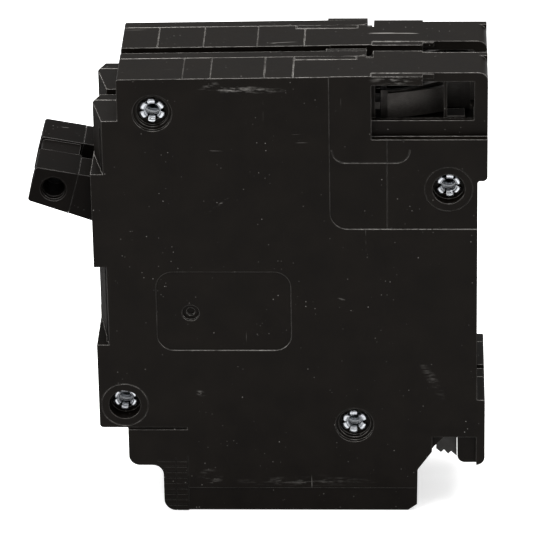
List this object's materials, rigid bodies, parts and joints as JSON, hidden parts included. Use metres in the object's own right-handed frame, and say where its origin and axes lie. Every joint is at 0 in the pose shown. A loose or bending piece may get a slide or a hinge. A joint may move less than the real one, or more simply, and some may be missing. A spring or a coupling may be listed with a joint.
{
  "type": "ground-fault circuit breaker",
  "caption": "Black plug-on ground-fault circuit breaker, one inch wide, with two half-inch poles riveted together, tied handles and a test button.",
  "frame": {"origin": "under the middle of the whole breaker, on the plane of the load end foot", "axes": "+Z from the load end to the line end, +X towards the bus side with the handles at -X, Y across the two poles"},
  "size_m": [0.0751, 0.0254, 0.0799],
  "materials": {
    "case_black": "moulded phenolic, semi-matte, near black",
    "cap_black": "moulded nylon, near black",
    "rivet_zinc": "zinc-plated tubular rivet",
    "copper": "copper strip",
    "tinned_copper": "tin-plated copper",
    "silver": "silver alloy contact",
    "spring_steel": "spring steel",
    "steel": "plated steel",
    "fibre": "vulcanised fibre",
    "bimetal": "thermostatic bimetal",
    "nylon": "natural nylon",
    "lead_black": "insulated copper lead",
    "aluminium": "tin-plated aluminium",
    "ferrite": "wound magnetic core in a plastic shell",
    "winding": "enamelled copper wire",
    "coil": "enamelled copper wire on a nylon bobbin",
    "board": "glass-fibre circuit board with solder mask",
    "chip": "moulded package",
    "capacitor": "sleeved aluminium can",
    "varistor": "coated ceramic disc",
    "button": "moulded plastic, pale grey"
  },
  "bodies": {
    "case": {"base_shell_a": "case_black", "cover_a": "case_black", "line_jaw_a": "copper", "line_strap_a": "copper", "fixed_contact_a": "silver", "arm_spring_a": "spring_steel", "arc_chute_frame_a": "fibre", "arc_chute_plates_a": "steel", "bimetal_a": "bimetal", "magnet_yoke_a": "steel", "bimetal_foot_a": "tinned_copper", "load_lead_a": "lead_black", "load_strap_a": "tinned_copper", "load_lug_a": "aluminium", "braid_a": "copper", "rail_clip_a": "spring_steel", "base_shell_b": "case_black", "cover_b": "case_black", "line_jaw_b": "copper", "line_strap_b": "copper", "fixed_contact_b": "silver", "arm_spring_b": "spring_steel", "arc_chute_frame_b": "fibre", "arc_chute_plates_b": "steel", "bimetal_b": "bimetal", "magnet_yoke_b": "steel", "bimetal_foot_b": "tinned_copper", "load_lead_b": "lead_black", "load_strap_b": "tinned_copper", "load_lug_b": "aluminium", "braid_b": "copper", "rail_clip_b": "spring_steel", "case_rivets": "rivet_zinc", "pivot_pins": "steel", "jaw_springs": "spring_steel", "sensing_core": "ferrite", "sensing_winding": "winding", "solenoid_coil": "coil", "circuit_board": "board", "control_chip": "chip", "board_capacitor": "capacitor", "varistor": "varistor", "button_spring": "spring_steel", "test_blade": "copper"},
    "handle": {"handle_lever_a": "cap_black", "handle_lever_b": "cap_black", "handle_tie": "cap_black"},
    "contact_arm_a": {"contact_arm_a": "copper", "moving_contact_a": "silver"},
    "contact_arm_b": {"contact_arm_b": "copper", "moving_contact_b": "silver"},
    "cradle_a": {"cradle_a": "steel"},
    "cradle_b": {"cradle_b": "steel"},
    "trip_bar": {"trip_bar": "nylon", "armature_a": "steel", "armature_b": "steel"},
    "plunger": {"solenoid_plunger": "steel"},
    "test_button": {"test_button": "button"},
    "lug_screw_a": {"lug_screw_a": "steel"},
    "lug_screw_b": {"lug_screw_b": "steel"}
  },
  "joints": [
    {"name": "handle_pivot", "type": "hinge", "parent": "case", "child": "handle", "pos_m": [-0.01996, 0, 0.055], "axis": [0, 1, 0], "range_deg": [-38, 0]},
    {"name": "arm_pivot_a", "type": "hinge", "parent": "case", "child": "contact_arm_a", "pos_m": [-0.00846, -0.0068, 0.056], "axis": [0, 1, 0], "range_deg": [0, 19]},
    {"name": "arm_pivot_b", "type": "hinge", "parent": "case", "child": "contact_arm_b", "pos_m": [-0.00846, 0.00595, 0.056], "axis": [0, 1, 0], "range_deg": [0, 19]},
    {"name": "cradle_pivot_a", "type": "hinge", "parent": "case", "child": "cradle_a", "pos_m": [0.02155, -0.009, 0.046], "axis": [0, 1, 0], "range_deg": [0, 12]},
    {"name": "cradle_pivot_b", "type": "hinge", "parent": "case", "child": "cradle_b", "pos_m": [0.02155, 0.00375, 0.046], "axis": [0, 1, 0], "range_deg": [0, 12]},
    {"name": "trip_bar_turn", "type": "hinge", "parent": "case", "child": "trip_bar", "pos_m": [-0.00396, 0, 0.043], "axis": [0, 1, 0], "range_deg": [-8, 0]},
    {"name": "plunger_slide", "type": "slide", "parent": "case", "child": "plunger", "axis": [1, 0, 0], "range_m": [0, 0.0013]},
    {"name": "test_press", "type": "slide", "parent": "case", "child": "test_button", "axis": [1, 0, 0], "range_m": [0, 0.0016], "stiffness_N_per_m": 600, "springref_m": -0.0015, "deforming": ["button_spring"]},
    {"name": "lug_screw_turn_a", "type": "slide", "parent": "case", "child": "lug_screw_a", "axis": [1, 0, 0], "range_m": [0, 0.002]},
    {"name": "lug_screw_turn_b", "type": "slide", "parent": "case", "child": "lug_screw_b", "axis": [1, 0, 0], "range_m": [0, 0.002]}
  ],
  "couplings": [
    {"joint": "arm_pivot_a", "follows": "handle_pivot", "ratio": -0.5},
    {"joint": "arm_pivot_b", "follows": "handle_pivot", "ratio": -0.5},
    {"joint": "cradle_pivot_a", "follows": "trip_bar_turn", "ratio": -1.5},
    {"joint": "cradle_pivot_b", "follows": "trip_bar_turn", "ratio": -1.5},
    {"joint": "plunger_slide", "follows": "trip_bar_turn", "m_per_rad": -0.0092}
  ]
}
